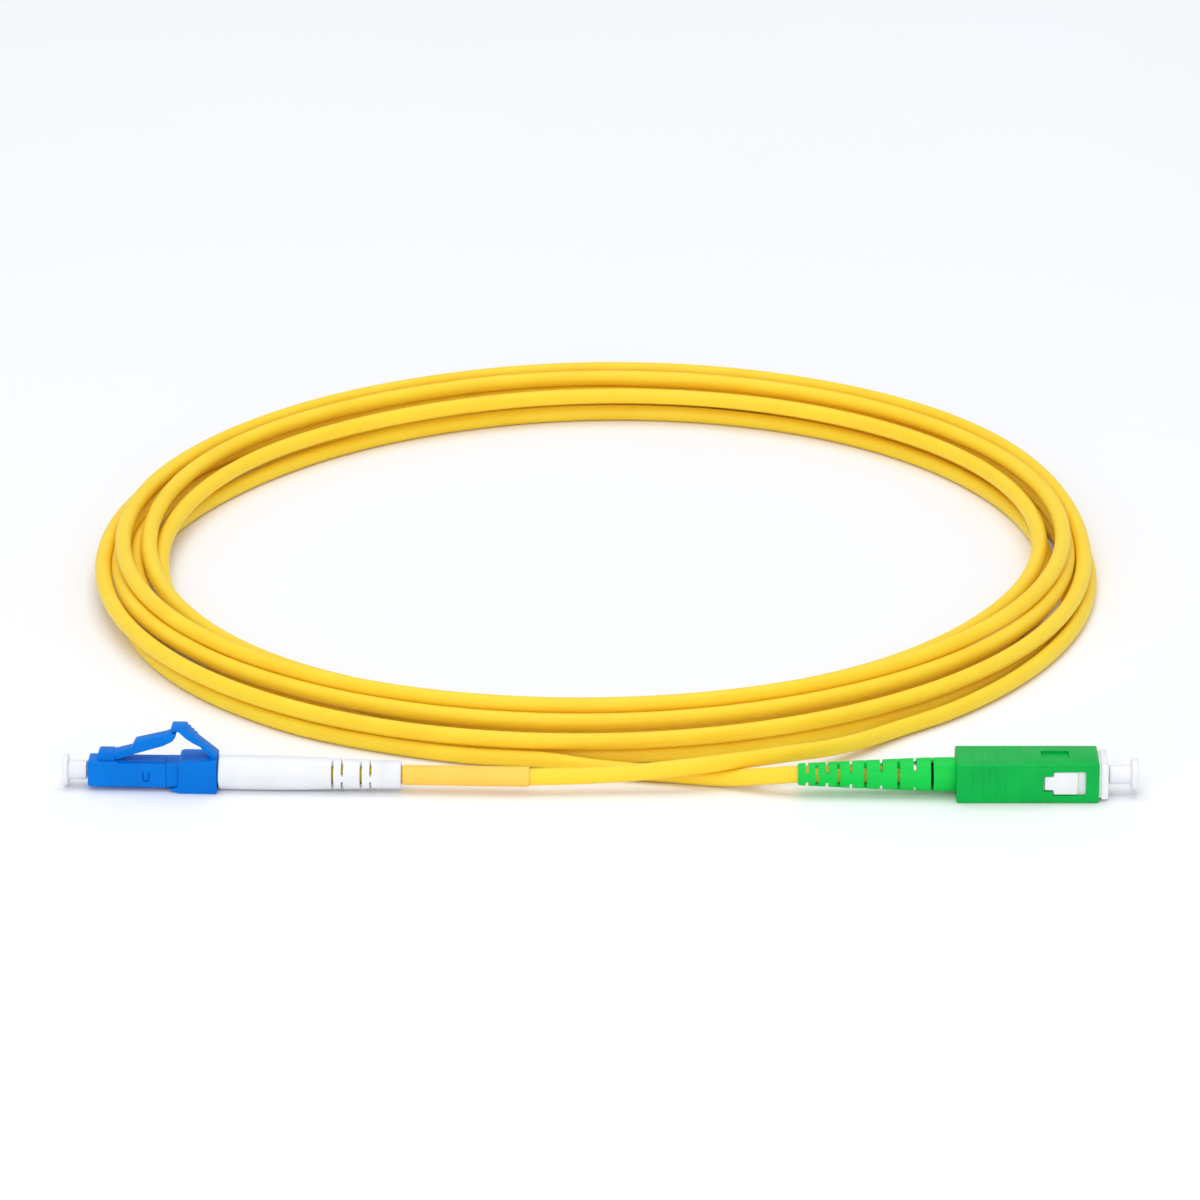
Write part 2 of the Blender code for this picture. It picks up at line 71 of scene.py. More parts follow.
# how the turns lie: one row per turn, (radius, height) every 30 degrees from the front round to the right
COIL_CENTRE = (-0.4, 111.4)
TURNS = [
    [(104.0, 1.6), (101.0, 1.6), (95.6, 1.5), (92.4, 1.5), (92.0, 1.5), (91.4, 1.5),
     (89.8, 1.5), (87.0, 1.5), (86.3, 2.8), (87.1, 4.6), (88.0, 2.6), (91.0, 1.5)],
    [(97.2, 1.5), (95.2, 1.5), (92.4, 1.5), (89.3, 1.5), (88.9, 1.9), (88.7, 3.2),
     (88.2, 4.5), (87.6, 4.5), (88.2, 4.5), (89.9, 4.6), (92.5, 5.4), (92.8, 5.7)],
    [(91.7, 5.7), (90.0, 5.7), (89.3, 5.4), (88.6, 4.8), (89.8, 4.5), (91.6, 4.5),
     (91.3, 4.5), (90.7, 4.5), (91.4, 4.5), (92.9, 4.5), (96.4, 4.5), (99.0, 4.5)],
    [(98.1, 4.5), (95.8, 4.5), (93.5, 4.5), (91.6, 4.6), (92.7, 7.3), (94.1, 7.4),
     (93.9, 7.4), (91.0, 7.4), (89.8, 7.4), (89.6, 7.4), (90.3, 7.5), (90.1, 7.5)],
    [(88.4, 7.5), (87.3, 7.5), (87.2, 7.6), (87.9, 7.7), (88.9, 7.5), (89.0, 7.5),
     (88.4, 7.5), (86.3, 7.5), (86.0, 7.4), (84.8, 6.6), (84.9, 5.5), (85.8, 5.5)],
    [(83.6, 5.5), (82.9, 5.5), (81.9, 5.5), (83.6, 5.5), (85.1, 5.5), (84.9, 5.5),
     (83.2, 5.5), (80.9, 5.5), (81.3, 5.5), (82.4, 4.0), (83.6, 1.6), (85.2, 1.5)],
    [(87.3, 1.5), (86.5, 1.5), (85.5, 1.5), (84.9, 1.5), (85.0, 1.5), (85.8, 1.5),
     (84.5, 1.5), (81.8, 1.5), (81.3, 1.5), (86.5, 1.5), (95.2, 1.5), (99.5, 1.5)],
]
PER_KEY = 3                     # settled points between two keys
PER_TURN = 12 * PER_KEY
START = 4                       # first settled point kept: the LC tail meets the coil there
CORD_STEP = 2.4                 # spacing of the cord curve's points

# how the keyed turns settle against each other
CLEARANCE = 0.02                # gap left between two turns
ROUNDS = 160
LAST_ROUNDS = 50                # rounds at the end in which turns only push apart
EVENING = 0.05                  # share of the way to its neighbours' middle that a point moves in a round
HOLDING = 0.1                   # share of the way back to its key that it moves

# boot slots as (x, half-width of the core left between a pair)
# "Y" pairs open to the sides, "Z" pairs to the top and bottom
LC_SLOTS = {"Y": ((-46.9, 0.5), (-41.9, 0.5)), "Z": ((-45.2, 0.5), (-40.2, 0.5))}
SC_SLOTS = {"Z": ((36.3, 0.7), (39.8, 0.85), (44.0, 1.0), (49.3, 1.2), (55.2, 1.45)),
            "Y": ((38.0, 0.5), (41.8, 0.5), (46.5, 0.5), (52.3, 0.5), (58.2, 0.5))}
LC_SLOT_W = 0.42
SC_SLOT_W = 0.5

SMOOTH_BELOW = 32               # degrees between two faces above which an edge stays sharp
NEEDLE = 2e-6                   # metres: edges shorter than this are closed up
SPRING_STEPS = 24               # points in each turn of a spring

# camera and light, in metres, degrees, watts and millimetres of lens
CAMERA_ELEVATION = 20.97
CAMERA_DISTANCE = 1.4
CAMERA_AIM = (0.0, 0.09404, 0.0)
CAMERA_LENS = 224.01
CAMERA_SENSOR = 36.0
FLOOR_SIZE = 6.0
WORLD_COLOUR = (0.975, 0.985, 1.0, 1)
WORLD_STRENGTH = 0.6
LIGHTS = {                      # name: place, target, diameter, power
    "overhead": ((0.0, 0.2, 1.5), (0, 0.1, 0), 1.5, 10.0),
    "front": ((-0.3, -1.0, 0.9), (0, 0.05, 0), 0.8, 3.2),
    "fill": ((0.0, -1.3, 0.35), (0, 0.05, 0), 0.9, 3.9),
}


# ---------------------------------------------------------------- materials
def base_material(name, rough, **sockets):
    mat = bpy.data.materials.new(name)
    mat.use_nodes = True
    tree = mat.node_tree
    shader = tree.nodes["Principled BSDF"]
    shader.inputs["Roughness"].default_value = rough
    for key, value in sockets.items():
        shader.inputs[key.replace("_", " ")].default_value = value
    return mat, tree, shader


def linear(rgb):
    """An sRGB colour of 0 to 255 as the linear RGBA that shaders take."""
    out = []
    for c in rgb:
        c /= 255
        out.append(c / 12.92 if c <= 0.04045 else ((c + 0.055) / 1.055) ** 2.4)
    return (*out, 1.0)


def noise(tree, coords, scale, detail=3.0, stretch=(1, 1, 1)):
    mapping = tree.nodes.new("ShaderNodeMapping")
    mapping.inputs["Scale"].default_value = stretch
    tree.links.new(coords, mapping.inputs["Vector"])
    node = tree.nodes.new("ShaderNodeTexNoise")
    node.inputs["Scale"].default_value = scale
    node.inputs["Detail"].default_value = detail
    tree.links.new(mapping.outputs["Vector"], node.inputs["Vector"])
    return node.outputs["Fac"]


def spread(tree, value, low, high):
    node = tree.nodes.new("ShaderNodeMapRange")
    node.inputs["From Min"].default_value = 0.3
    node.inputs["From Max"].default_value = 0.7
    node.inputs["To Min"].default_value = low
    node.inputs["To Max"].default_value = high
    tree.links.new(value, node.inputs["Value"])
    return node.outputs["Result"]


def moulded(name, light, dark, rough, grain=2600.0, bump=0.04, cloud=160.0, **sockets):
    """A plastic with slow colour clouding, fine grain in its gloss and a shallow moulded texture."""
    mat, tree, shader = base_material(name, rough, **sockets)
    coords = tree.nodes.new("ShaderNodeTexCoord").outputs["Object"]
    clouds = spread(tree, noise(tree, coords, cloud, 4.0), 0.0, 1.0)
    mix = tree.nodes.new("ShaderNodeMix")
    mix.data_type = "RGBA"
    mix.inputs["A"].default_value = linear(light)
    mix.inputs["B"].default_value = linear(dark)
    tree.links.new(clouds, mix.inputs["Factor"])
    tree.links.new(mix.outputs["Result"], shader.inputs["Base Color"])
    fine = noise(tree, coords, grain, 2.0)
    tree.links.new(spread(tree, fine, rough - 0.05, rough + 0.06), shader.inputs["Roughness"])
    relief = tree.nodes.new("ShaderNodeBump")
    relief.inputs["Strength"].default_value = bump
    relief.inputs["Distance"].default_value = 0.0001
    tree.links.new(fine, relief.inputs["Height"])
    tree.links.new(relief.outputs["Normal"], shader.inputs["Normal"])
    return mat


def metal(name, colour, rough, streak=(1, 40, 40)):
    """A plated or drawn metal with fine turning marks round its axis."""
    mat, tree, shader = base_material(name, rough, Metallic=1.0)
    coords = tree.nodes.new("ShaderNodeTexCoord").outputs["Object"]
    marks = noise(tree, coords, 900.0, 2.0, streak)
    mix = tree.nodes.new("ShaderNodeMix")
    mix.data_type = "RGBA"
    mix.inputs["A"].default_value = linear(colour)
    mix.inputs["B"].default_value = linear([c * 0.86 for c in colour])
    tree.links.new(spread(tree, marks, 0.0, 1.0), mix.inputs["Factor"])
    tree.links.new(mix.outputs["Result"], shader.inputs["Base Color"])
    tree.links.new(spread(tree, marks, rough - 0.06, rough + 0.08), shader.inputs["Roughness"])
    return mat


MATS = {
    "yellow_jacket": moulded("jacket", (255, 213, 54), (252, 206, 46), 0.46, 1500, 0.05, 90,
                             Subsurface_Weight=0.6, Subsurface_Scale=0.003,
                             Subsurface_Radius=(1.0, 1.0, 0.7), Specular_IOR_Level=0.3),
    "yellow_sleeve": moulded("sleeve", (255, 208, 88), (252, 200, 79), 0.42, 1800, 0.04, 120,
                             Specular_IOR_Level=0.3),
    "blue_plastic": moulded("lc_blue", (0, 124, 222), (0, 112, 208), 0.34, 2600, 0.04, 140,
                            Specular_IOR_Level=0.08),
    "green_plastic": moulded("sc_green", (0, 182, 76), (0, 170, 68), 0.34, 2600, 0.04, 140,
                             Specular_IOR_Level=0.14),
    "green_boot": moulded("boot_green", (0, 208, 78), (0, 198, 68), 0.44, 1800, 0.06, 200,
                          Specular_IOR_Level=0.2),
    "white_boot": moulded("boot_white", (235, 235, 238), (228, 229, 232), 0.42, 1800, 0.06, 200,
                          Subsurface_Weight=0.1, Subsurface_Scale=0.002),
    "white_plastic": moulded("frame_white", (243, 243, 244), (234, 235, 238), 0.36, 2400, 0.05, 200,
                             Subsurface_Weight=0.1, Subsurface_Scale=0.001),
    "cap_plastic": moulded("cap_white", (238, 238, 243), (231, 231, 237), 0.3, 900, 0.01, 160,
                           Specular_IOR_Level=0.4),
    "ceramic": moulded("zirconia", (245, 243, 236), (238, 236, 228), 0.14, 3000, 0.02, 260),
    "nickel": metal("nickel", (206, 202, 192), 0.24),
    "spring_steel": metal("spring_steel", (188, 190, 196), 0.3, (6, 6, 6)),
    "buffer": moulded("buffer", (244, 240, 226), (236, 231, 214), 0.4, 2400, 0.04, 240),
}


# ---------------------------------------------------------------- shapes
def mesh_object(name, bm):
    mesh = bpy.data.meshes.new(name)
    bmesh.ops.recalc_face_normals(bm, faces=bm.faces)
    bm.to_mesh(mesh)
    bm.free()
    obj = bpy.data.objects.new(name, mesh)
    bpy.context.scene.collection.objects.link(obj)
    return obj


def block(name, x, y, z):
    bm = bmesh.new()
    bmesh.ops.create_cube(bm, size=1.0)
    size = Vector((x[1] - x[0], y[1] - y[0], z[1] - z[0])) * MM
    centre = Vector((x[0] + x[1], y[0] + y[1], z[0] + z[1])) / 2 * MM
    bmesh.ops.transform(bm, matrix=Matrix.Translation(centre) @ Matrix.Diagonal((*size, 1)), verts=bm.verts)
    return mesh_object(name, bm)


def extruded(name, outline, low, high, along="Y"):
    """A closed outline drawn in the plane across one axis, extruded along that axis from low to high.

    The outline is (x, z) for "Y", (x, y) for "Z" and (y, z) for "X".
    """
    def place(a, b, c):
        point = {"Y": (a, c, b), "Z": (a, b, c), "X": (c, a, b)}[along]
        return Vector(point) * MM

    bm = bmesh.new()
    ends = [[bm.verts.new(place(a, b, c)) for a, b in outline] for c in (low, high)]
    bm.faces.new(ends[0])
    bm.faces.new(list(reversed(ends[1])))
    for i in range(len(outline)):
        j = (i + 1) % len(outline)
        bm.faces.new((ends[0][i], ends[0][j], ends[1][j], ends[1][i]))
    return mesh_object(name, bm)


def lathe(name, profile, axis_z, steps=64):
    """A profile of (x, radius) points turned about an axis along X. Points on the axis are shared."""
    bm = bmesh.new()
    rings = []
    for x, r in profile:
        if r <= 0:
            rings.append([bm.verts.new((x * MM, 0, axis_z * MM))])
            continue
        ring = []
        for i in range(steps):
            a = 2 * math.pi * i / steps
            ring.append(bm.verts.new((x * MM, r * math.cos(a) * MM, (axis_z + r * math.sin(a)) * MM)))
        rings.append(ring)
    pairs = list(zip(rings, rings[1:]))
    if len(rings[0]) > 1 and len(rings[-1]) > 1:
        pairs.append((rings[-1], rings[0]))
    for a, b in pairs:
        for i in range(steps):
            j = (i + 1) % steps
            corners = [a[i % len(a)], a[j % len(a)], b[j % len(b)], b[i % len(b)]]
            unique = list(dict.fromkeys(corners))
            if len(unique) > 2:
                bm.faces.new(unique)
    return mesh_object(name, bm)


def applied(obj):
    """Replace the object's mesh by what its modifiers make of it."""
    bpy.context.view_layer.update()
    graph = bpy.context.evaluated_depsgraph_get()
    mesh = bpy.data.meshes.new_from_object(obj.evaluated_get(graph))
    obj.modifiers.clear()
    obj.data = mesh
    return obj


def rounded(obj, width, segments=3, angle=35):
    edge = obj.modifiers.new("edge", "BEVEL")
    edge.width = width * MM
    edge.segments = segments
    edge.limit_method = "ANGLE"
    edge.angle_limit = math.radians(angle)
    edge.harden_normals = False
    return applied(obj)


def combined(obj, operation, others):
    for other in others:
        step = obj.modifiers.new("solid", "BOOLEAN")
        step.operation = operation
        step.solver = "EXACT"
        step.object = other
    applied(obj)
    for other in others:
        bpy.data.objects.remove(other, do_unlink=True)
    return obj


def cut(obj, *others):
    return combined(obj, "DIFFERENCE", others)


def join(obj, *others):
    return combined(obj, "UNION", others)


def placing(node):
    """What takes a piece from where it is drawn to where its CAD node lies."""
    shift = Matrix.Translation((0, SHIFT_Y * MM, 0))
    if not node.startswith("lc_"):
        return shift
    pivot = Matrix.Translation((LC_YAW_X * MM, 0, 0))
    return shift @ pivot @ Matrix.Rotation(math.radians(LC_YAW), 4, "Z") @ pivot.inverted()


def weld(mesh):
    """Close up the needle-thin edges that bevels and booleans leave."""
    bm = bmesh.new()
    bm.from_mesh(mesh)
    bmesh.ops.dissolve_degenerate(bm, dist=NEEDLE, edges=bm.edges)
    bm.to_mesh(mesh)
    bm.free()


def dressed(obj, slot, body, *nodes):
    """Finish a piece: material, smooth shading, the body that it rides on and the CAD nodes it stands for."""
    weld(obj.data)
    obj.data.transform(placing(nodes[0]))
    obj.data.materials.clear()
    obj.data.materials.append(MATS[slot])
    obj.data.shade_smooth()
    obj.data.set_sharp_from_angle(angle=math.radians(SMOOTH_BELOW))
    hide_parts(*nodes)
    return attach(obj, body)


def rounded_outline(points, radius, steps=4):
    """The closed outline with every corner replaced by a short curve."""
    out = []
    n = len(points)
    for i in range(n):
        p, a, b = (Vector(points[k % n]).to_2d() for k in (i, i - 1, i + 1))
        to_a, to_b = a - p, b - p
        reach = min(radius, 0.45 * to_a.length, 0.45 * to_b.length)
        start, end = p + to_a.normalized() * reach, p + to_b.normalized() * reach
        for k in range(steps + 1):
            t = k / steps
            q = start * (1 - t) ** 2 + p * 2 * t * (1 - t) + end * t ** 2
            out.append((q.x, q.y))
    return out


# ---------------------------------------------------------------- the cord
def catmull_rom(keys, t):
    """The smooth value through evenly keyed tuples at parameter t."""
    last = len(keys) - 1
    k = min(int(t), last - 1)
    u = t - k
    around = [keys[min(max(j, 0), last)] for j in (k - 1, k, k + 1, k + 2)]
    out = []
    for a, b, c, d in zip(*around):
        bend = (2 * a - 5 * b + 4 * c - d) * u * u + (3 * b - a - 3 * c + d) * u ** 3
        out.append(0.5 * (2 * b + (c - a) * u + bend))
    return out


def settled_turns():
    """Lay the turns as keyed, then let crossing and neighbouring turns push each other a cable apart."""
    keys = [key for row in TURNS for key in row]
    count = (len(keys) - 1) * PER_KEY + 1
    aim = [catmull_rom(keys, i / PER_KEY) for i in range(count)]
    lay = [list(p) for p in aim]
    apart = 2 * CABLE_R + CLEARANCE
    for turn in range(ROUNDS):
        for i in range(START, count):
            for j in range(i + PER_TURN, count, PER_TURN):
                dr, dz = lay[j][0] - lay[i][0], lay[j][1] - lay[i][1]
                gap = math.hypot(dr, dz)
                if gap < apart:
                    push = (apart - gap) / 2 / max(gap, 1e-6)
                    lay[i][0] -= dr * push
                    lay[i][1] -= dz * push
                    lay[j][0] += dr * push
                    lay[j][1] += dz * push
        settling = turn < ROUNDS - LAST_ROUNDS
        before = [list(p) for p in lay]
        for i, p in enumerate(lay):
            if settling and 0 < i < count - 1:
                for axis in (0, 1):
                    middle = (before[i - 1][axis] + before[i + 1][axis]) / 2
                    here = before[i][axis]
                    p[axis] += EVENING * (middle - here) + HOLDING * (aim[i][axis] - here)
            p[1] = max(p[1], CABLE_R)
    points = []
    for i in range(START, count):
        angle = 2 * math.pi * i / PER_TURN
        r, z = lay[i]
        points.append((COIL_CENTRE[0] + r * math.sin(angle), COIL_CENTRE[1] - r * math.cos(angle), z))
    return points


def smooth_path(knots, step):
    """Points a step apart on the centripetal curve through the knots."""
    knots = [Vector(k) for k in knots]
    knots = [2 * knots[0] - knots[1]] + knots + [2 * knots[-1] - knots[-2]]
    out = []
    for i in range(1, len(knots) - 2):
        p0, p1, p2, p3 = knots[i - 1:i + 3]
        t0 = 0.0
        t1 = t0 + (p1 - p0).length ** 0.5
        t2 = t1 + (p2 - p1).length ** 0.5
        t3 = t2 + (p3 - p2).length ** 0.5
        count = max(1, round((p2 - p1).length / step))
        for k in range(count):
            t = t1 + (t2 - t1) * k / count
            a1 = p0 * ((t1 - t) / (t1 - t0)) + p1 * ((t - t0) / (t1 - t0))
            a2 = p1 * ((t2 - t) / (t2 - t1)) + p2 * ((t - t1) / (t2 - t1))
            a3 = p2 * ((t3 - t) / (t3 - t2)) + p3 * ((t - t2) / (t3 - t2))
            b1 = a1 * ((t2 - t) / (t2 - t0)) + a2 * ((t - t0) / (t2 - t0))
            b2 = a2 * ((t3 - t) / (t3 - t1)) + a3 * ((t - t1) / (t3 - t1))
            out.append(b1 * ((t2 - t) / (t2 - t1)) + b2 * ((t - t1) / (t2 - t1)))
    out.append(knots[-2])
    return out


def build_cord():
    knots = LC_ROUTE + settled_turns() + SC_JOIN + list(reversed(SC_ROUTE))
    points = smooth_path(knots, CORD_STEP)
    curve = bpy.data.curves.new("patch_cable", "CURVE")
    curve.dimensions = "3D"
    curve.bevel_depth = CABLE_R * MM
    curve.bevel_resolution = 6
    curve.use_fill_caps = True
    spline = curve.splines.new("POLY")
    spline.points.add(len(points) - 1)
    for point, place in zip(spline.points, points):
        point.co = (place.x * MM, (place.y + SHIFT_Y) * MM, place.z * MM, 1.0)
    spline.use_smooth = True
    cord = bpy.data.objects.new("patch_cable", curve)
    bpy.context.scene.collection.objects.link(cord)
    curve.materials.append(MATS["yellow_jacket"])
    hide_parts("cable_coil", "cable_tail_lc", "cable_tail_sc")
    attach(cord, "root")


# ---------------------------------------------------------------- LC plug
def lc_housing():
    z = LC_Z
    body = rounded(block("lc_housing_shell", (-90.0, -75.7), (-2.3, 2.3), (z - 2.3, z + 2.3)), 0.3, 4)
    root = extruded("root", rounded_outline([(-88.45, z + 1.9), (-85.3, z + 1.9), (-85.3, z + 3.95),
                                             (-87.9, z + 3.95), (-88.25, z + 3.5)], 0.25), -1.42, 1.42)
    join(body, rounded(root, 0.12, 2))
    bore = lathe("bore", [(-91.0, 0), (-91.0, 1.45), (-89.7, 1.15), (-86.9, 1.15), (-86.9, 1.5),
                          (-75.0, 1.5), (-75.0, 0)], z)
    tools = [bore, block("rear", (-76.2, -75.0), (-4.0, 4.0), (z - 4, z + 4))]
    for side in (-1, 1):
        u = [(-80.35, z + 0.6), (-80.35, z - 0.9), (-80.05, z - 1.2), (-79.3, z - 1.2), (-79.0, z - 0.9),
             (-79.0, z + 0.6), (-79.35, z + 0.6), (-79.35, z - 0.8), (-80.0, z - 0.8), (-80.0, z + 0.6)]
        low, high = sorted((side * 1.95, side * 3.0))
        tools.append(extruded(f"u_{side}", u, low, high))
        low, high = sorted((side * 1.45, side * 3.0))
        tools.append(block(f"rib_{side}", (-84.6, -76.0), (low, high), (z + 2.12, z + 3.0)))
    cut(body, *tools)
    dressed(body, "blue_plastic", "root", "lc_housing")


def lc_latch():
    z = LC_Z
    outline = [(-86.4, z + 2.6), (-84.6, z + 2.5), (-81.9, z + 3.55), (-76.6, z + 5.2), (-75.3, z + 5.9),
               (-74.8, z + 6.3), (-74.4, z + 7.05), (-74.3, z + 7.55), (-75.5, z + 7.5), (-76.3, z + 7.2),
               (-81.6, z + 5.9), (-82.3, z + 4.6), (-84.8, z + 3.93), (-86.4, z + 3.6)]
    arm = rounded(extruded("lc_latch_arm", rounded_outline(outline, 0.22), -1.3, 1.3), 0.14, 3, 50)
    dressed(arm, "blue_plastic", "lc_latch_arm", "lc_latch")


def lc_rear_body():
    z = LC_Z
    square = [(-2.24, z - 2.24), (2.24, z - 2.24), (2.24, z + 2.24), (-2.24, z + 2.24)]
    body = extruded("lc_rear_collar", rounded_outline(square, 0.25), -76.12, -68.5, "X")
    seat = lathe("seat", [(-69.0, 0), (-69.0, 1.7), (-62.1, 1.7), (-61.9, 1.55), (-61.9, 0)], z)
    join(body, seat)
    cut(body, lathe("through", [(-77.0, 0), (-77.0, 0.75), (-60.0, 0.75), (-60.0, 0)], z, 32))
    dressed(body, "blue_plastic", "root", "lc_rear_body")


def lc_clip():
    z = LC_Z
    outline = [(-75.7, z - 2.5), (-73.9, z - 3.0), (-67.2, z - 3.0), (-67.2, z + 3.0), (-73.3, z + 3.0),
               (-73.9, z + 2.75), (-73.75, z + 0.5), (-74.1, z - 2.0), (-75.5, z - 2.42)]
    clip = rounded(extruded("lc_clip_shell", rounded_outline(outline, 0.18), -3.0, 3.0), 0.3, 4, 50)
    for vert in clip.data.vertices:
        ahead = -73.9 - vert.co.x / MM
        if ahead > 0:
            vert.co.y *= 1 - 0.09 * ahead
    cut(clip, block("room", (-77.0, -66.0), (-2.4, 2.4), (z - 2.4, z + 2.4)))
    dressed(clip, "blue_plastic", "root", "lc_trigger_clip")


def lc_trigger():
    z = LC_Z
    top = [(-75.1, z + 8.75), (-73.0, z + 8.8)]
    for i in range(4):
        x = -72.9 + 2.2 * i / 4
        high = z + 8.75 - 2.3 * i / 4
        top += [(x + 0.15, high), (x + 0.42, high - 0.08), (x + 0.5, high - 0.5)]
    outline = [(-67.5, z + 2.8), (-67.25, z + 3.65)] + list(reversed(top))
    outline += [(-75.3, z + 8.35), (-75.1, z + 8.2), (-73.8, z + 7.95), (-72.6, z + 6.75), (-71.4, z + 5.95),
                (-70.1, z + 5.25), (-68.4, z + 3.35), (-68.4, z + 2.8)]
    arm = rounded(extruded("lc_trigger_arm", rounded_outline(outline, 0.12, 2), -1.7, 1.7), 0.1, 2, 50)
    dressed(arm, "blue_plastic", "lc_trigger_arm", "lc_trigger")


def slot_cutters(slots, width, reach, axis_z, across):
    """Pairs of slots with rounded ends, cut in from both sides of a boot down to a core at each place."""
    tools = []
    for x, core in slots:
        for side in (-1, 1):
            a, b = sorted((side * core, side * reach))
            outline = rounded_outline([(x - width / 2, a), (x + width / 2, a), (x + width / 2, b),
                                       (x - width / 2, b)], width * 0.45, 3)
            if across == "Y":
                tools.append(extruded("slot", outline, axis_z - reach, axis_z + reach, "Z"))
            else:
                lifted = [(u, axis_z + v) for u, v in outline]
                tools.append(extruded("slot", lifted, -reach, reach, "Y"))
    return tools


def lc_boot():
    z = LC_Z
    profile = [(-67.0, 2.5), (-67.0, 2.85), (-66.85, 3.0), (-66.5, 3.05), (-58.0, 3.05), (-54.0, 3.0),
               (-50.0, 2.88), (-46.0, 2.74), (-42.0, 2.62), (-38.6, 2.55), (-38.45, 2.46), (-38.2, 2.46),
               (-38.05, 2.54), (-35.3, 2.52), (-35.0, 2.44), (-34.9, 2.3), (-34.9, 1.7), (-57.0, 1.7),
               (-57.6, 2.5)]
    boot = lathe("lc_boot_shell", profile, z, 72)
    cut(boot, *slot_cutters(LC_SLOTS["Y"], LC_SLOT_W, 4.0, z, "Y"),
        *slot_cutters(LC_SLOTS["Z"], LC_SLOT_W, 4.0, z, "Z"))
    dressed(boot, "white_boot", "root", "lc_boot")


def lc_sleeve():
    profile = [(-34.6, 1.6), (-34.6, 1.72), (-34.45, 1.78), (-12.7, 1.78), (-12.5, 1.74), (-12.4, 1.66),
               (-12.4, 1.6)]
    sleeve = lathe("lc_sleeve_tube", profile, LC_Z, 48)
    dressed(sleeve, "yellow_sleeve", "root", "lc_jacket_sleeve")


def lc_cap():
    bore = FERRULE_R["lc"] + 0.1
    profile = [(-94.4, 0), (-94.4, 2.45), (-94.3, 2.7), (-94.1, 2.8), (-93.75, 2.8), (-93.6, 2.72),
               (-93.45, 2.3), (-93.3, 1.82), (-93.1, 1.72), (-90.45, 1.72), (-90.32, 1.66), (-90.3, 1.55),
               (-90.3, bore), (-93.3, bore), (-93.3, 0)]
    dressed(lathe("lc_cap_shell", profile, LC_Z), "cap_plastic", "lc_cap", "lc_dust_cap")


# ---------------------------------------------------------------- SC plug
def stepped_outline(x, half):
    """The outline of the grip's window, or of the pad in it: a narrow rear part and a taller front part."""
    lower = [(x[0], SC_Z - half[0]), (x[1], SC_Z - half[0]), (x[1], SC_Z - half[1]), (x[2], SC_Z - half[1])]
    return lower + [(a, 2 * SC_Z - b) for a, b in reversed(lower)]


def sc_grip():
    z = SC_Z
    grip = rounded(block("sc_grip_shell", (62.35, 87.35), (-4.5, 4.5), (z - 3.7, z + 3.7)), 0.4, 4)
    raised = [rounded(block("front", (73.8, 86.9), (-4.56, 4.56), (z - 3.1, z + 3.1)), 0.12, 2),
              rounded(block("front_top", (73.8, 86.9), (-4.0, 4.0), (z, z + 3.76)), 0.12, 2)]
    for x in (65.2, 67.0, 68.1, 69.3, 70.0, 70.9):
        raised.append(rounded(block("rib", (x - 0.13, x + 0.13), (-4.58, 4.58), (z - 2.7, z + 2.7)), 0.05, 1))
        raised.append(rounded(block("top_rib", (x - 0.13, x + 0.13), (-3.6, 3.6), (z, z + 3.78)), 0.05, 1))
    join(grip, *raised)
    window = rounded_outline(stepped_outline((77.6, 79.2, 85.0), (1.42, 2.25)), 0.3)
    key = rounded_outline([(77.3, -1.7), (82.2, -1.7), (82.2, 1.7), (77.3, 1.7)], 0.3)
    cut(grip, block("hollow", (61.0, 89.0), (-3.85, 3.85), (z - 3.1, z + 3.1)),
        extruded("window", window, -6.0, 6.0), extruded("key", key, z + 3.3, z + 5.0, "Z"))
    dressed(grip, "green_plastic", "sc_grip_shell", "sc_grip")


def sc_frame():
    z = SC_Z
    y, h = 3.73, 2.98
    body = rounded(block("sc_frame_shell", (66.6, 87.85), (-y, y), (z - h, z + h)), 0.22, 3)
    nose = rounded(block("nose", (87.65, 89.0), (-y - 0.25, y + 0.25), (z - h - 0.25, z + h + 0.25)), 0.35, 4)
    shown = rounded_outline(stepped_outline((77.8, 79.35, 83.6), (1.27, 2.1)), 0.25)
    pad = extruded("pad", shown, -4.33, 4.33)
    join(body, nose, rounded(pad, 0.12, 2, 50))
    bore = lathe("bore", [(64.0, 0), (64.0, 2.5), (86.4, 2.5), (86.4, 1.7), (88.6, 1.7), (90.0, 2.1),
                          (90.0, 0)], z)
    cut(body, bore)
    dressed(body, "white_plastic", "root", "sc_plug_frame")


def sc_boot():
    z = SC_Z
    profile = [(34.7, 1.62), (34.7, 1.8), (34.85, 1.9), (35.2, 1.97), (40.0, 2.2), (46.0, 2.48), (52.0, 2.76),
               (57.0, 2.96), (60.0, 3.02), (64.0, 3.02), (64.2, 2.9), (64.2, 2.55), (54.2, 2.55),
               (53.6, 1.62)]
    boot = lathe("sc_boot_shell", profile, z, 72)
    cut(boot, *slot_cutters(SC_SLOTS["Z"], SC_SLOT_W, 4.5, z, "Z"),
        *slot_cutters(SC_SLOTS["Y"], SC_SLOT_W, 4.5, z, "Y"))
    dressed(boot, "green_boot", "root", "sc_boot")


def sc_cap():
    bore = FERRULE_R["sc"] + 0.08
    profile = [(92.6, 0), (92.6, bore), (89.3, bore), (89.3, 1.62), (89.42, 1.7), (92.8, 1.7), (92.95, 1.85),
               (93.15, 2.6), (93.3, 2.85), (93.5, 2.9), (94.15, 2.9), (94.33, 2.8), (94.4, 2.6), (94.4, 0)]
    dressed(lathe("sc_cap_shell", profile, SC_Z), "cap_plastic", "sc_cap", "sc_dust_cap")


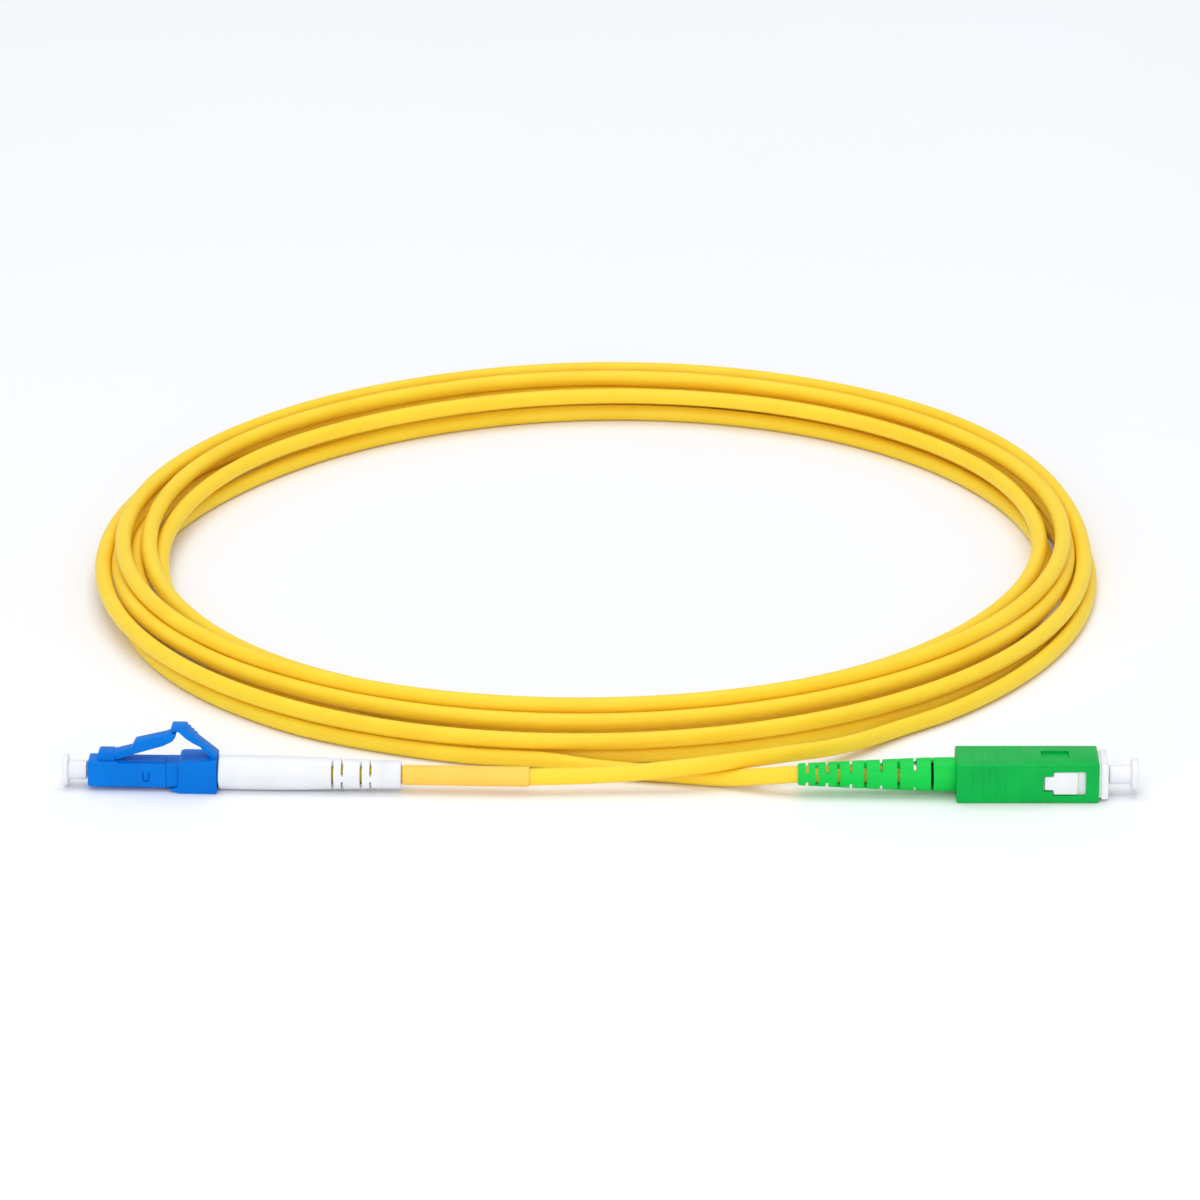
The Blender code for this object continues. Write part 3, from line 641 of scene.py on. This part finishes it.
# ---------------------------------------------------------------- springs
def spring(name, x, radius, turns, axis_z, wire, node):
    """A coil spring round a plug's axis, wound evenly between the pair x."""
    curve = bpy.data.curves.new(name, "CURVE")
    curve.dimensions = "3D"
    curve.bevel_depth = wire / 2 * MM
    curve.bevel_resolution = 3
    curve.use_fill_caps = True
    spline = curve.splines.new("POLY")
    count = SPRING_STEPS * turns
    spline.points.add(count)
    for i, point in enumerate(spline.points):
        angle = 2 * math.pi * i / SPRING_STEPS
        along = x[0] + (x[1] - x[0]) * i / count
        point.co = (along * MM, radius * math.cos(angle) * MM, (axis_z + radius * math.sin(angle)) * MM, 1.0)
    drawn = bpy.data.objects.new(name, curve)
    bpy.context.scene.collection.objects.link(drawn)
    bpy.context.view_layer.update()
    mesh = bpy.data.meshes.new_from_object(drawn)
    bpy.data.objects.remove(drawn, do_unlink=True)
    coil = bpy.data.objects.new(name, mesh)
    bpy.context.scene.collection.objects.link(coil)
    dressed(coil, "spring_steel", "root", node)
    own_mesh(coil)


# ---------------------------------------------------------------- setting
def stage_and_camera():
    mesh = bpy.data.meshes.new("floor")
    bm = bmesh.new()
    bmesh.ops.create_grid(bm, x_segments=1, y_segments=1, size=FLOOR_SIZE)
    bm.to_mesh(mesh)
    bm.free()
    floor = bpy.data.objects.new("floor", mesh)
    bpy.context.scene.collection.objects.link(floor)
    mat, tree, shader = base_material("floor", 0.9)
    coords = tree.nodes.new("ShaderNodeTexCoord").outputs["Object"]
    soft = spread(tree, noise(tree, coords, 8.0), 0.0, 1.0)
    mix = tree.nodes.new("ShaderNodeMix")
    mix.data_type = "RGBA"
    mix.inputs["A"].default_value = (0.92, 0.937, 0.97, 1)
    mix.inputs["B"].default_value = (0.92, 0.925, 0.94, 1)
    tree.links.new(soft, mix.inputs["Factor"])
    tree.links.new(mix.outputs["Result"], shader.inputs["Base Color"])
    shader.inputs["Specular IOR Level"].default_value = 0.1
    mesh.materials.append(mat)

    world = bpy.data.worlds.new("studio")
    bpy.context.scene.world = world
    world.use_nodes = True
    world.node_tree.nodes["Background"].inputs["Color"].default_value = WORLD_COLOUR
    world.node_tree.nodes["Background"].inputs["Strength"].default_value = WORLD_STRENGTH

    for name, (place, target, size, watts) in LIGHTS.items():
        data = bpy.data.lights.new(name, "AREA")
        data.shape = "DISK"
        data.size = size
        data.energy = watts
        lamp = bpy.data.objects.new(name, data)
        bpy.context.scene.collection.objects.link(lamp)
        lamp.location = place
        lamp.rotation_euler = (Vector(target) - Vector(place)).to_track_quat("-Z", "Y").to_euler()

    camera_data = bpy.data.cameras.new("camera")
    camera = bpy.data.objects.new("camera", camera_data)
    bpy.context.scene.collection.objects.link(camera)
    elevation, aim = math.radians(CAMERA_ELEVATION), Vector(CAMERA_AIM)
    camera.location = aim + Vector((0, -math.cos(elevation), math.sin(elevation))) * CAMERA_DISTANCE
    camera.rotation_euler = (aim - camera.location).to_track_quat("-Z", "Y").to_euler()
    camera_data.sensor_width = CAMERA_SENSOR
    camera_data.lens = CAMERA_LENS
    camera_data.clip_start = 0.01
    camera_data.clip_end = 50
    bpy.context.scene.camera = camera
    bpy.context.scene.view_settings.view_transform = "Standard"


def main():
    stage_and_camera()
    build_cord()
    lc_housing()
    lc_latch()
    lc_rear_body()
    lc_clip()
    lc_trigger()
    lc_boot()
    lc_sleeve()
    lc_cap()
    sc_grip()
    sc_frame()
    sc_boot()
    sc_cap()
    spring("lc_spring_coil", (-76.3, -84.1), 1.18, 7, LC_Z, 0.28, "lc_spring")
    spring("sc_spring_coil", (74.9, 82.4), 2.02, 6, SC_Z, 0.48, "sc_spring")
    slots = {"lc_ferrule": "ceramic", "sc_ferrule": "ceramic", "lc_ferrule_flange": "nickel",
             "sc_ferrule_flange": "nickel", "lc_crimp_sleeve": "nickel", "sc_crimp_sleeve": "nickel",
             "lc_buffer": "buffer", "sc_buffer": "buffer", "sc_stop_ring": "white_plastic"}
    for node, slot in slots.items():
        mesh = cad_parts[node].data
        if not mesh.materials:
            mesh.materials.append(MATS[slot])
        for i in range(len(mesh.materials)):
            mesh.materials[i] = MATS[slot]


main()
